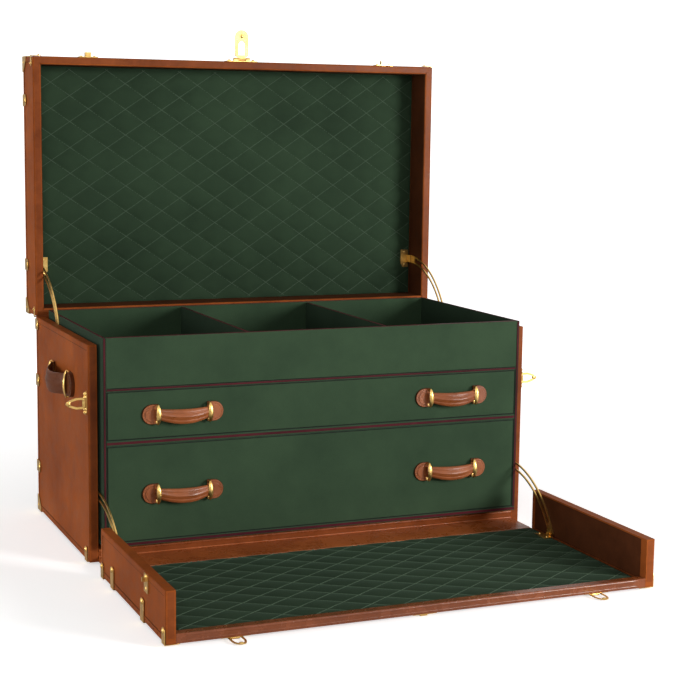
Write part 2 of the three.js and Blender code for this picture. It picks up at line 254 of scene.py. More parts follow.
# ------------------------------------------------------------------ mesh building
class Form:
    """Vertices and faces of one piece, in working millimetres."""

    def __init__(self):
        self.verts = []
        self.faces = []

    def add(self, verts, faces):
        start = len(self.verts)
        self.verts += [Vector(v) for v in verts]
        self.faces += [[start + i for i in face] for face in faces]

    def prism(self, outline, direction):
        """A flat outline of 3-D points, swept by a vector."""
        count = len(outline)
        bottom = [Vector(p) for p in outline]
        top = [p + Vector(direction) for p in bottom]
        walls = [(i, (i + 1) % count, count + (i + 1) % count, count + i) for i in range(count)]
        self.add(bottom + top, [range(count - 1, -1, -1), range(count, 2 * count), *walls])

    def bar(self, low, high):
        (x0, y0, z0), (x1, y1, z1) = low, high
        self.prism([(x0, y0, z0), (x1, y0, z0), (x1, y1, z0), (x0, y1, z0)], (0, 0, z1 - z0))

    def loft(self, rings, closed=False):
        """Joins equal rings of points into a skin, with the two ends capped unless closed."""
        count = len(rings[0])
        faces = []
        for k in range(len(rings) if closed else len(rings) - 1):
            a, b = k * count, ((k + 1) % len(rings)) * count
            faces += [(a + i, a + (i + 1) % count, b + (i + 1) % count, b + i) for i in range(count)]
        if not closed:
            last = (len(rings) - 1) * count
            faces += [range(count - 1, -1, -1), range(last, last + count)]
        self.add([p for ring in rings for p in ring], faces)

    def tube(self, points, radius, sides=8, closed=False):
        """A round tube along the points."""
        path = [Vector(p) for p in points]
        rings = []
        side = None
        for i, point in enumerate(path):
            before = path[i - 1] if i or closed else point
            after = path[(i + 1) % len(path)] if i + 1 < len(path) or closed else point
            along = (after - before).normalized()
            start = side if side is not None else along.orthogonal()
            side = (start - along * start.dot(along)).normalized()
            other = along.cross(side)
            turn = [2 * math.pi * j / sides for j in range(sides)]
            rings.append([point + radius * (math.cos(a) * side + math.sin(a) * other) for a in turn])
        self.loft(rings, closed)

    def dome(self, centre, outward, radius, rise, rows=4, sides=14):
        """A round nail or screw head standing on a surface."""
        outward = Vector(outward).normalized()
        side = outward.orthogonal().normalized()
        other = outward.cross(side)
        rings = []
        for k in range(rows):
            lift = math.sin(math.pi / 2 * k / rows)
            reach = math.cos(math.pi / 2 * k / rows) * radius
            turn = [2 * math.pi * j / sides for j in range(sides)]
            hub = Vector(centre) + outward * (lift * rise - 0.1)
            rings.append([hub + reach * (math.cos(a) * side + math.sin(a) * other) for a in turn])
        self.loft(rings)


def piece(name, form, material, body, bevel=0.0, replaces=(), segments=2):
    """Makes the object, in metres in the frame, riding on its body if it has just one."""
    mesh = bpy.data.meshes.new(name)
    verts = [(v.x / 1000, (v.y + FRONT) / 1000, v.z / 1000) for v in form.verts]
    mesh.from_pydata(verts, [], [list(face) for face in form.faces])
    bm = bmesh.new()
    bm.from_mesh(mesh)
    bmesh.ops.recalc_face_normals(bm, faces=bm.faces)
    bm.to_mesh(mesh)
    bm.free()
    mesh.materials.append(material)
    made = bpy.data.objects.new(name, mesh)
    bpy.context.collection.objects.link(made)
    soften(made, bevel, segments)
    if body:
        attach(made, body)
    if replaces:
        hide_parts(*replaces)
    return made


def soften(made, bevel, segments=2):
    """Rounds the hard edges and shades smoothly between them."""
    if bevel:
        modifier = made.modifiers.new("rounded_edges", "BEVEL")
        modifier.width = bevel / 1000
        modifier.segments = segments
        modifier.limit_method = "ANGLE"
        modifier.angle_limit = math.radians(35)
        modifier.harden_normals = True
    made.data.shade_smooth()
    if not bevel:
        made.data.set_sharp_from_angle(angle=math.radians(40))


def dress(node, material, bevel=0.0):
    """Gives a CAD node that stays in view its material and softened edges."""
    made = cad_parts[node]
    made.data.materials.clear()
    made.data.materials.append(material)
    soften(made, bevel)


def in_plane(plane, u, v, at):
    """The point that lies u and v along the plane's two named axes, and at along the third."""
    spot = dict(zip(plane, (u, v)))
    return Vector([spot.get(axis, at) for axis in "xyz"])


# ------------------------------------------------------------------ leather shell
def mitred_ring(form, plane, at, depth, outer, inner):
    """Four mitred lengths round an opening. plane names the two axes of the rectangles, at and
    depth are along the third; outer and inner are (low, high) corners in those two axes."""
    def corner(rect, i, j):
        return in_plane(plane, rect[i][0], rect[j][1], at)

    sweep = in_plane(plane, 0, 0, depth)
    around = ((0, 0), (1, 0), (1, 1), (0, 1))
    for k in range(4):
        p, q = around[k], around[(k + 1) % 4]
        form.prism([corner(outer, *p), corner(outer, *q), corner(inner, *q), corner(inner, *p)], sweep)


def lid_walls():
    """The lid's frame, mitred at the corners like a picture frame, and a dark sheet on its inner walls,
    painted shade.
    """
    form = Form()
    low, high = LID_LOW, LID_HIGH
    outer = ((-HALF, low[2]), (HALF, high[2]))
    inner = ((-INSIDE, low[2] + WALL), (INSIDE, high[2] - WALL))
    mitred_ring(form, "xz", low[1], high[1] - low[1], outer, inner)
    walls = ("lid_left_wall", "lid_right_wall", "lid_front_wall", "lid_hinge_wall")
    piece("lid_frame", form, TAN, "lid", 2.2, walls, 3)
    # a dark sheet over the inner walls: painted shade
    painted_shade_sheet = Form()
    sunk, proud, margin = 0.2, 0.5, 2
    edge = ((-INSIDE - sunk, low[2] + WALL - sunk), (INSIDE + sunk, high[2] - WALL + sunk))
    skin = ((-INSIDE + proud, low[2] + WALL + proud), (INSIDE - proud, high[2] - WALL - proud))
    reach = cad("lid_quilt")[0][1] - low[1] - margin
    mitred_ring(painted_shade_sheet, "xz", low[1] + margin, reach, edge, skin)
    piece("lid_inner_painted_shade", painted_shade_sheet, DARK_PINS_AND_PAINTED_SHADOW, "lid")


def binding(form, painted_shadow_line, plane, at, rise, rect, width):
    """A mitred leather binding round an outer face, with a dark line along its inner edge, painted shadow.
    """
    (u0, v0), (u1, v1) = rect
    far = width + 1.3
    inner = ((u0 + width, v0 + width), (u1 - width, v1 - width))
    mitred_ring(form, plane, at, rise, rect, inner)
    # a thin dark strip just inside the binding: painted shadow
    line = ((u0 + far, v0 + far), (u1 - far, v1 - far))
    mitred_ring(painted_shadow_line, plane, at, rise * 0.25, inner, line)


def bindings():
    """Raised bindings round the outer faces, each on its own body."""
    body, lid, front = Form(), Form(), Form()
    painted_shadow_lines = {"trunk": Form(), "lid": Form(), "front": Form()}
    edge = 1.0
    narrow, broad, outer_width = 9, 14, 12
    flush_rise = 0.28  # for the lid's top binding, which runs under the brass plates
    for _, side in SIDES:
        x = side * HALF
        rise = side * BINDING_RISE
        body_rect = ((edge, UNDERSIDE + edge), (BACK - edge, BODY_HIGH[2] - edge))
        binding(body, painted_shadow_lines["trunk"], "yz", x, rise, body_rect, narrow)
        lid_rect = ((LID_LOW[1] + edge, LID_LOW[2] + edge), (LID_HIGH[1] - edge, LID_HIGH[2] - edge))
        binding(lid, painted_shadow_lines["lid"], "yz", x, rise, lid_rect, narrow)
        cheek = ((CHEEK_LOW[1] + edge, UNDERSIDE + edge), (CHEEK_HIGH[1] - edge, CHEEK_HIGH[2] - edge))
        binding(front, painted_shadow_lines["front"], "yz", x, rise, cheek, narrow)
    span = HALF - edge
    back_rect = ((-span, UNDERSIDE + edge), (span, BODY_HIGH[2] - edge))
    binding(body, painted_shadow_lines["trunk"], "xz", BACK, BINDING_RISE, back_rect, broad)
    lid_back = ((-span, LID_LOW[2] + edge), (span, LID_HIGH[2] - edge))
    binding(lid, painted_shadow_lines["lid"], "xz", LID_HIGH[1], BINDING_RISE, lid_back, broad)
    lid_top = ((-span, LID_LOW[1] + edge), (span, LID_HIGH[1] - edge))
    binding(lid, painted_shadow_lines["lid"], "xy", LID_HIGH[2], flush_rise, lid_top, narrow)
    outer_front = ((-span, CHEEK_LOW[1] + edge), (span, CHEEK_HIGH[1] - edge))
    binding(front, painted_shadow_lines["front"], "xy", UNDERSIDE, -BINDING_RISE, outer_front, outer_width)
    piece("body_binding", body, TAN, "trunk", 0.4)
    piece("lid_binding", lid, TAN, "lid", 0.4)
    piece("front_binding", front, TAN, "front", 0.4)
    # the dark lines of painted shadow, one object per body
    for owner, painted_shadow_line in painted_shadow_lines.items():
        piece(f"{owner}_grooves", painted_shadow_line, DARK_PINS_AND_PAINTED_SHADOW, owner)


def rim_strips():
    """Darker leather strips on the faces that point forward, between the rolled corners."""
    body, lid, front = Form(), Form(), Form()
    margin, rise = 2.6, 0.15
    for _, side in SIDES:
        near, far = sorted((side * (INSIDE + margin), side * (HALF - margin)))
        body.bar((near, -rise, UNDERSIDE + 3), (far, 0.4, BODY_HIGH[2] - 3))
        y = CHEEK_LOW[1]
        front.bar((near, y - rise, UNDERSIDE + 9), (far, y + 0.4, CHEEK_HIGH[2] - 3))
    outer = ((-HALF + margin, LID_LOW[2] + margin), (HALF - margin, LID_HIGH[2] - margin))
    inner = ((-INSIDE - margin, LID_LOW[2] + WALL - margin), (INSIDE + margin, LID_HIGH[2] - WALL + margin))
    mitred_ring(lid, "xz", LID_LOW[1] - rise, 0.5, outer, inner)
    piece("body_rim_strips", body, EDGE, "trunk")
    piece("lid_rim_strips", lid, EDGE, "lid")
    piece("front_rim_strips", front, EDGE, "front")


def front_roll():
    """Two rolled beads of glazed leather along the front panel's outer edge."""
    low, high = cad("front_rim")
    form = Form()
    margin = 17
    ends = (low[0] + margin, high[0] - margin)
    form.tube([(x, low[1] + 2.6, high[2] - 3.4) for x in ends], 3.3, 14)
    form.tube([(x, low[1] + 1.6, low[2] + 3.4) for x in ends], 2.2, 12)
    piece("front_rolled_edge", form, RIM, "front")


def edge_nails():
    """Small dark pins along the bindings at the foot of the trunk and the front."""
    body, front = Form(), Form()
    pitch, height, radius, rise = 24, UNDERSIDE + 5.5, 1.5, 0.7
    rows = ((body, 8, BACK - 8), (front, CHEEK_LOW[1] + 20, CHEEK_HIGH[1] - 20))
    for _, side in SIDES:
        for form, start, end in rows:
            count = int((end - start) / pitch)
            for k in range(count + 1):
                y = start + (end - start) * k / count
                form.dome((side * (HALF + BINDING_RISE), y, height), (side, 0, 0), radius, rise)
    piece("body_edge_pins", body, DARK_PINS_AND_PAINTED_SHADOW, "trunk")
    piece("front_edge_pins", front, DARK_PINS_AND_PAINTED_SHADOW, "front")


def stitch_row(form, start, end, outward, pitch=8.0, length=5.2, radius=0.55):
    """Short stitches lying in a straight row, each bowed a little out of the surface."""
    start, end, outward = Vector(start), Vector(end), Vector(outward)
    bow = 0.25
    run = end - start
    count = max(1, int(run.length / pitch))
    along = run.normalized()
    for i in range(count):
        middle = start + run * ((i + 0.5) / count)
        ends = [middle + along * (length / 2 * s) - outward * bow for s in (-1, 1)]
        form.tube([ends[0], middle + outward * bow, ends[1]], radius, 5)


def stitch_rectangle(form, plane, at, outward, rect, inset):
    """Stitching round a rectangle, inset from its edges."""
    (left, low), (right, high) = rect
    u = (left + inset, right - inset)
    v = (low + inset, high - inset)
    corners = ((u[0], v[0]), (u[1], v[0]), (u[1], v[1]), (u[0], v[1]))
    points = [in_plane(plane, *corner, at) for corner in corners]
    for start, end in zip(points, points[1:] + points[:1]):
        stitch_row(form, start, end, outward)


def stitching():
    """Stitches in the bindings of the body's and the lid's backs."""
    body, lid = Form(), Form()
    inset = 12
    body_back = ((-HALF, UNDERSIDE), (HALF, BODY_HIGH[2]))
    stitch_rectangle(body, "xz", BACK + BINDING_RISE, (0, 1, 0), body_back, inset)
    lid_back = ((-HALF, LID_LOW[2]), (HALF, LID_HIGH[2]))
    stitch_rectangle(lid, "xz", LID_HIGH[1] + BINDING_RISE, (0, 1, 0), lid_back, inset)
    piece("body_stitching", body, THREAD, "trunk")
    piece("lid_stitching", lid, THREAD, "lid")


def shell():
    """Everything of the leather-covered body, lid and front, without the brass."""
    for node in ("body_left_side", "body_right_side", "body_back"):
        dress(node, TAN, 1.8)
    dress("body_floor", EDGE, 1.5)
    dress("sill", SILL, 1.5)
    dress("lid_board", TAN, 0.8)
    dress("front_board", TAN, 1.0)
    dress("front_rim", RIM, 4.0)
    for name, _ in SIDES:
        dress(f"front_cheek_{name}", TAN, 1.8)
    lid_walls()
    bindings()
    rim_strips()
    front_roll()
    edge_nails()
    stitching()
    cheek_painted_shade()
    lid_barrel()
    sill_moulding()
    front_hinge()


def cheek_painted_shade():
    """A dark sheet on the inner faces of the cheeks, painted shade, with a thin piped foot."""
    painted_shade_sheet, painted_shadow_ring = Form(), Form()
    radius = 1.4
    front_end = CHEEK_LOW[1] + WALL + 2
    hinge_end = CHEEK_HIGH[1] - 12  # short of the sill, which it would meet as the front shuts
    for _, side in SIDES:
        x = sorted((side * (INSIDE - 0.6), side * (INSIDE + 0.5)))
        low = (x[0], front_end, UNDERSIDE + 9)
        painted_shade_sheet.bar(low, (x[1], hinge_end, CHEEK_HIGH[2] - 3))
        foot = side * (INSIDE - radius)
        painted_shadow_ring.tube([(foot, y, UNDERSIDE + 9.6) for y in (front_end + 1, hinge_end - 1)], radius)
    piece("cheek_painted_shade", painted_shade_sheet, DARK_PINS_AND_PAINTED_SHADOW, "front", 0.3)
    piece("cheek_piped_foot", painted_shadow_ring, EDGE, "front")


def lid_barrel():
    """The slim hinge barrel between the body's back edge and the lid."""
    form = Form()
    axis_z = (BODY_HIGH[2] + LID_LOW[2]) / 2
    form.tube([(x, BACK, axis_z) for x in (-HALF + 1, HALF - 1)], 2.6, 12)
    piece("lid_hinge_barrel", form, EDGE, "trunk")


def sill_moulding():
    """A rounded leather bead along the foot of the body's front rim."""
    form = Form()
    top = cad("body_floor")[1][2]
    for y, z, radius in ((-0.2, top - 3.2, 2.2), (-1.2, cad("sill")[1][2] + 1.2, 1.5)):
        form.tube([(x, y, z) for x in (-INSIDE + 1, INSIDE - 1)], radius, 10)
    piece("sill_moulding", form, SILL, "trunk")


def front_hinge():
    """The leather strip that the front turns on, running from the sill to the panel."""
    form = Form()
    board_top = cad("front_board")[1][2]
    rear_top, fore_top = cad("sill")[1][2] + 1.1, board_top + 0.9
    half, thickness = INSIDE - 4, 1.0
    sections = (-72, -76, -79, -82, -85, -88, -91, -95)  # closest together over the bend
    bend = (-79, -90)
    rings = []
    for y in sections:
        share = (y - sections[0]) / (sections[-1] - sections[0])
        top = rear_top + (fore_top - rear_top) * share
        foot = top - thickness
        rings.append([(-half, y, foot), (half, y, foot), (half, y, top), (-half, y, top)])
    form.loft(rings)
    made = piece("front_hinge_leather", form, SILL, None)
    start, end = [(0, (y + FRONT) / 1000, board_top / 1000) for y in bend]
    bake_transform(made)
    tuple(start)
    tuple(end)


# ------------------------------------------------------------------ fitted case
def painted_edges():
    """Red-painted edges of the case's boards, seen from the front and from above."""
    form = Form()
    face = cad("tray_front")[0][1]
    board_foot = 37.0  # the base's board, above its runners
    widest_upright = 10  # an upright board is narrower than this, seen from the front
    for node in ("case_base", "drawer_rail", "tray_floor", "case_left_side", "case_right_side"):
        low, high = cad(node)
        foot = max(low[2], board_foot)
        inset = 2.2 if node == "drawer_rail" else 1.1
        upright = high[0] - low[0] < widest_upright
        sides = 1.3 if upright else 0.4
        corner = (low[0] + sides, face - 0.6, foot + inset)
        form.bar(corner, (high[0] - sides, face + 0.3, high[2] - inset))
    tops = ("tray_front", "tray_divider_left", "tray_divider_right", "case_back",
            "case_left_side", "case_right_side")
    for node in tops:
        low, high = cad(node)
        inset = min(high[0] - low[0], high[1] - low[1]) * 0.12
        corner = (low[0] + inset, low[1] + inset, high[2] - 0.3)
        form.bar(corner, (high[0] - inset, high[1] - inset, high[2] + 0.5))
    piece("case_painted_edges", form, RED_EDGE, "trunk", 0.25)


def fitted_case():
    """The suede case, darker on its side boards and dividers as painted shade, its painted edges, and the
    drawers, with painted shadow round their fronts and along the tray floor.
    """
    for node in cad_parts:
        if node.startswith(("case_", "tray_")) or node == "drawer_rail":
            # side boards and dividers take the darker suede, painted shade
            sideways = any(word in node for word in ("case_left", "case_right", "divider"))
            dress(node, PAINTED_SHADE_SUEDE if sideways else SUEDE, 0.7)
    painted_edges()
    # a near-black bar along the tray floor's front: painted shadow under the tray front
    low, high = cad("tray_floor")
    painted_shadow_bar = Form()
    painted_shadow_bar.bar((low[0] + 1, low[1] - 0.4, high[2] - 0.6), (high[0] - 1, low[1] + 0.3, high[2] + 0.9))
    piece("tray_painted_shadow", painted_shadow_bar, PAINTED_SHADOW_LINE, "trunk")
    for drawer in ("upper_drawer", "lower_drawer"):
        dress(f"{drawer}_front", SUEDE, 1.6)
        low, high = cad(f"{drawer}_front")
        # a near-black ring round the drawer front: painted shadow of the gap
        painted_shadow_ring = Form()
        outer = ((low[0] + 0.2, low[2] + 0.2), (high[0] - 0.2, high[2] - 0.2))
        inner = ((low[0] + 2.0, low[2] + 1.8), (high[0] - 2.0, high[2] - 1.8))
        mitred_ring(painted_shadow_ring, "xz", low[1] - 0.15, 0.6, outer, inner)
        piece(f"{drawer}_piping", painted_shadow_ring, PAINTED_SHADOW_LINE, drawer)
        dress(f"{drawer}_box", WOOD, 0.8)


# ------------------------------------------------------------------ quilted linings
DIAMOND = (80.0, 54.0)


def quilt_height(u, v, spans, border):
    """0 at the seams and edge, 1 on a full diamond; flat outside the quilted field."""
    p = u / DIAMOND[0] + v / DIAMOND[1]
    q = u / DIAMOND[0] - v / DIAMOND[1]
    puff = (abs(math.sin(math.pi * p)) * abs(math.sin(math.pi * q))) ** 0.5
    edge = min(spans[0] - abs(u), spans[1] - abs(v))
    fade = min(1.0, max(0.0, edge / border))
    drift = 0.12 * noise.noise(Vector((u, v, 0.0)) * 0.02)
    return puff * (1 + drift) * math.sin(math.pi / 2 * fade) ** 0.6


def quilt(name, node, material, axis, out, crown, body, flat_border):
    """A padded, diamond-quilted lining in place of its plain CAD slab."""
    low, high = cad(node)
    middle = [(a + b) / 2 for a, b in zip(low, high)]
    half = [(b - a) / 2 for a, b in zip(low, high)]
    third = "xyz".index(axis)
    second = 3 - third
    plane = "x" + "xyz"[second]
    set_back, trim, step = 1.2, 0.5, 3.4
    face = (low if out < 0 else high)[third] - out * set_back
    rear = (high if out < 0 else low)[third]
    spans = (half[0] - trim, half[second] - trim)
    counts = [int(2 * span / step) for span in spans]

    def point(u, v, depth):
        return in_plane(plane, middle[0] + u, middle[second] + v, depth)

    verts = []
    for i in range(counts[0] + 1):
        for j in range(counts[1] + 1):
            u = -spans[0] + 2 * spans[0] * i / counts[0]
            v = -spans[1] + 2 * spans[1] * j / counts[1]
            verts.append(point(u, v, face + out * crown * quilt_height(u, v, spans, flat_border)))
    width = counts[1] + 1
    faces = [(i * width + j, (i + 1) * width + j, (i + 1) * width + j + 1, i * width + j + 1)
             for i in range(counts[0]) for j in range(counts[1])]
    rim = [i * width for i in range(counts[0] + 1)]
    rim += [counts[0] * width + j for j in range(1, width)]
    rim += [i * width + width - 1 for i in range(counts[0] - 1, -1, -1)]
    rim += list(range(width - 2, 0, -1))
    start = len(verts)
    for index in rim:
        spot = verts[index].copy()
        spot[third] = rear
        verts.append(spot)
    total = len(rim)
    faces += [(rim[k], start + k, start + (k + 1) % total, rim[(k + 1) % total]) for k in range(total)]
    faces.append(range(start, start + total))
    form = Form()
    form.add(verts, faces)
    made = piece(name, form, material, body, 0.0, (node,))
    made.data.shade_smooth()

    seams = Form()
    reach = int(spans[0] / DIAMOND[0] + spans[1] / DIAMOND[1])
    samples = 60
    for sign in (1, -1):
        for k in range(-reach, reach + 1):
            run = []
            for n in range(-samples, samples + 1):
                v = spans[1] * n / samples
                u = (k - sign * v / DIAMOND[1]) * DIAMOND[0]
                if abs(u) < spans[0] - 2 and abs(v) < spans[1] - 2:
                    wobble = 0.5 * noise.noise(Vector((u * 0.05, v * 0.05, k)))
                    run.append(point(u + wobble, v, face + out * 0.9))
            if len(run) > 2:
                seams.tube(run, 0.7, 6)
    piece(f"{name}_seams", seams, SEAM, body)


def linings():
    """The two quilts, and the tan hem along the front quilt's hinge edge."""
    quilt("lid_quilting", "lid_quilt", QUILT, "y", -1, 5.0, "lid", 26)
    # the front quilt takes the darker copy of the suede, painted shade
    quilt("front_quilting", "front_quilt", FRONT_QUILT_PAINTED_SHADE, "z", 1, 3.4, "front", 20)
    low, high = cad("front_quilt")
    hem = Form()
    hem.tube([(x, high[1] - 1, high[2] - 1.4) for x in (low[0] + 1, high[0] - 1)], 1.7, 10)
    piece("front_quilt_hem", hem, GRIP, "front")


# ------------------------------------------------------------------ grips
def grip_place(origin, along, outward):
    """Turns a grip's own (along, out, up) into working coordinates."""
    origin, along, outward = Vector(origin), Vector(along), Vector(outward)

    def place(u, n, w):
        return origin + along * u + outward * n + Vector((0, 0, w))
    return place


def strap(form, place, loop, reach, sag, half, depth, waist):
    """A leather grip that thickens and sags in the middle. Its face has a raised middle rib and
    two shallow grooves."""
    rings = []
    rows, around = 32, 40
    for i in range(rows + 1):
        t = -1 + 2 * i / rows
        swell = math.cos(t * math.pi / 2) ** 0.7 if abs(t) < 1 else 0.0
        centre = (t * (loop + 4), depth + reach * (1 - t * t), 2 - sag * (1 - t * t))
        tall = half * (waist + (1 - waist) * swell)
        thick = depth * (0.55 + 0.30 * swell)
        ring = []
        for j in range(around):
            angle = 2 * math.pi * j / around
            across, out = math.cos(angle), math.sin(angle)
            rib = 0.0
            if out > 0:
                rib = 0.30 * math.exp(-((across - 0.05) / 0.15) ** 2) * swell
                rib -= 0.16 * math.exp(-((abs(across) - 0.45) / 0.11) ** 2)
            ring.append(place(centre[0], centre[1] + thick * (out + rib), centre[2] + tall * across))
        rings.append(ring)
    form.loft(rings)


def grip_tab(form, place, side, loop, end, half, thickness, inset=0.0):
    """A half-round leather tab lying on the wall beyond its loop."""
    nose = end - half
    start = loop - 3 + inset * 1.6
    radius = half - inset
    base = [place(side * u, 0.0, w) for u, w in tab_outline(start, nose, radius, 12)]
    form.prism(base, place(0, thickness, 0) - place(0, 0, 0))


def tab_outline(start, nose, radius, steps):
    """A strip from start to nose with a half-round end, in steps round the bend."""
    angles = [-math.pi / 2 + math.pi * k / steps for k in range(1, steps)]
    bend = [(nose + radius * math.cos(a), radius * math.sin(a)) for a in angles]
    return [(start, -radius), (nose, -radius), *bend, (nose, radius), (start, radius)]


def tab_stitches(form, place, side, loop, end, half, thickness):
    """Stitches just inside a tab's edge."""
    path = tab_outline(loop + 3, end - half, half - 3.0, 10)
    out = place(0, 1, 0) - place(0, 0, 0)
    for (u0, w0), (u1, w1) in zip(path, path[1:]):
        start, stop = place(side * u0, thickness, w0), place(side * u1, thickness, w1)
        if (stop - start).length > 2.0:
            stitch_row(form, start, stop, out, 4.6, 3.0, 0.4)


def brass_loop(form, place, u, tall, reach, width, gauge):
    """An upright oval loop, broad at its waist and pointed at top and bottom."""
    rings = []
    rows = 30
    for i in range(rows):
        angle = 2 * math.pi * i / rows
        wide = width * (0.3 + 0.7 * abs(math.sin(angle)) ** 1.4)
        ring = []
        for j in range(8):
            turn = 2 * math.pi * j / 8
            radial = gauge * math.cos(turn)
            n = reach * 0.5 + (reach * 0.5 + radial) * math.sin(angle)
            w = (tall + radial) * math.cos(angle)
            ring.append(place(u + wide * math.sin(turn), n + 0.6, w))
        rings.append(ring)
    form.loft(rings, closed=True)


def grip(name, node, place, body, size):
    """A complete pull: ribbed strap, two end tabs with stitching, and two brass loops."""
    leather_form, shadow, stitches, metal = Form(), Form(), Form(), Form()
    loop, end, half = size["loop"], size["end"], size["half"]
    edge, shadow_thickness = 0.8, 1.6  # how far the dark rim of painted shadow shows round a tab, and its thickness
    upper, upper_inset = 1.3, 5.2  # the rise and inset of a second layer on each tab
    strap(leather_form, place, loop, size["reach"], size["sag"], *size["strap"])
    for _, side in SIDES:
        # a dark rim under each tab's edge: painted shadow
        grip_tab(shadow, place, side, loop, end + edge, half + edge, shadow_thickness)
        grip_tab(leather_form, place, side, loop, end, half, size["tab"])
        grip_tab(leather_form, place, side, loop, end, half, size["tab"] + upper, upper_inset)
        tab_stitches(stitches, place, side, loop, end, half, size["tab"])
        brass_loop(metal, place, side * loop, *size["ring"])
    piece(name, leather_form, size["hide"], body, 0.5, (node,))
    piece(f"{name}_tab_painted_shadows", shadow, DARK_PINS_AND_PAINTED_SHADOW, body)
    piece(f"{name}_stitches", stitches, THREAD, body)
    piece(f"{name}_loops", metal, BRASS, body)


# loop, end and half: a grip's loops and tab ends from its middle, and half the tabs' height.
# top: the CAD node's top above that middle. strap and ring: the last arguments of strap and
# brass_loop.
DRAWER_PULL = {"loop": 50, "end": 78, "half": 18, "top": 19, "reach": 12, "sag": 6, "tab": 3.6,
               "strap": (14, 7, 0.6), "ring": (18, 15, 4.6, 1.5), "hide": GRIP}
SIDE_HANDLE = {"loop": 67, "end": 100, "half": 23, "top": 24, "reach": 20, "sag": 5, "tab": 7.0,
               "strap": (21, 6, 0.92), "ring": (25, 13, 5.0, 2.6), "hide": HANDLE}


def grips():
    """Two pulls on each drawer and a handle on each side of the trunk."""
    for drawer in ("upper_drawer", "lower_drawer"):
        for name, side in SIDES:
            node = f"{drawer}_pull_{name}"
            low, high = cad(node)
            origin = ((low[0] + high[0]) / 2, high[1], high[2] - DRAWER_PULL["top"])
            place = grip_place(origin, (1, 0, 0), (0, -1, 0))
            grip(f"{drawer}_grip_{name}", node, place, drawer, DRAWER_PULL)
    for name, side in SIDES:
        low, high = cad(f"side_handle_{name}")
        origin = (side * HALF, (low[1] + high[1]) / 2, high[2] - SIDE_HANDLE["top"])
        place = grip_place(origin, (0, 1, 0), (side, 0, 0))
        grip(f"side_grip_{name}", f"side_handle_{name}", place, "trunk", SIDE_HANDLE)


# ------------------------------------------------------------------ brass hardware
BRASS_LIFT = 1.2  # how far the clips and caps lie off the shell, over its binding
CLIP_HEIGHTS = {"body": (281, 99), "lid": (856, 513)}
FRONT_CLIPS = (-167, -360)  # along the cheeks' feet
SCREW_X = {"lid_stay_bracket": 420, "front_stay_bracket": 414}  # near the plates' middles


def clip(form, point, along, first, second, length, leg=13.0):
    """A round-ended strip of brass folded over an outer edge and nailed on both faces."""
    point, along = Vector(point), Vector(along)
    first, second = Vector(first), Vector(second)
    half = along * (length / 2)
    thickness, overhang, end = 1.2, 2.0, 6
    for out, inward in ((first, -second), (second, -first)):
        corner = point + out * BRASS_LIFT
        strip = [corner - half - inward * overhang, corner + half - inward * overhang]
        for k in range(7):
            turn = math.pi * k / 6
            reach = leg - end + end * math.sin(turn)
            strip.append(corner + half * math.cos(turn) + inward * reach)
        form.prism(strip, out * thickness)
        form.dome(corner + out * thickness + inward * (leg - end), out, half.length * 0.55, 2.6)


def corner_cap(form, point, signs, leg=32.0):
    """A three-sided brass cap on an outer corner, with a nail on each leaf."""
    thickness, overhang = 1.0, 2.0
    for axis in range(3):
        out = Vector([signs[k] if k == axis else 0 for k in range(3)])
        u = Vector([-signs[k] if k == (axis + 1) % 3 else 0 for k in range(3)])
        v = Vector([-signs[k] if k == (axis + 2) % 3 else 0 for k in range(3)])
        corner = Vector(point) + out * BRASS_LIFT - u * overhang - v * overhang
        leaf = [corner, corner + u * leg, corner + u * leg + v * leg * 0.3,
                corner + u * leg * 0.3 + v * leg, corner + v * leg]
        form.prism(leaf, out * thickness)
        form.dome(corner + out * thickness + (u + v) * (leg * 0.38), out, 2.2, 1.6)


def shell_clips():
    """Brass clips and corner caps along the outer edges."""
    body, lid, front = Form(), Form(), Form()
    for _, side in SIDES:
        out = (side, 0, 0)
        for z in CLIP_HEIGHTS["body"]:
            clip(body, (side * HALF, BACK, z), (0, 0, 1), out, (0, 1, 0), 24, 28)
        for z in CLIP_HEIGHTS["lid"]:
            clip(lid, (side * HALF, LID_HIGH[1], z), (0, 0, 1), out, (0, 1, 0), 24, 28)
        corner_cap(lid, (side * HALF, LID_HIGH[1], LID_HIGH[2]), (side, 1, 1))
        corner_cap(lid, (side * HALF, LID_HIGH[1], LID_LOW[2]), (side, 1, -1))
        corner_cap(body, (side * HALF, BACK, UNDERSIDE), (side, 1, -1))
        for z in (LID_LOW[2], LID_HIGH[2]):
            up = (0, 0, -1 if z == LID_LOW[2] else 1)
            clip(lid, (side * HALF, LID_LOW[1] + 12, z), (0, 1, 0), out, up, 9, 20)
        clip(body, (side * HALF, BACK, BODY_HIGH[2] - 15), (0, 0, 1), out, (0, 1, 0), 22, 24)
        clip(body, (side * HALF, 23, UNDERSIDE), (0, 1, 0), out, (0, 0, -1), 18, 26)
        for y in FRONT_CLIPS:
            clip(front, (side * HALF, y, UNDERSIDE), (0, 1, 0), out, (0, 0, -1), 20, 38)
        for y in (CHEEK_LOW[1] + 10, CHEEK_HIGH[1] - 10):
            clip(front, (side * HALF, y, UNDERSIDE), (0, 1, 0), out, (0, 0, -1), 17, 26)
    piece("body_clips", body, BRASS, "trunk", 0.3)
    piece("lid_clips", lid, BRASS, "lid", 0.3)
    piece("front_clips", front, BRASS, "front", 0.3)


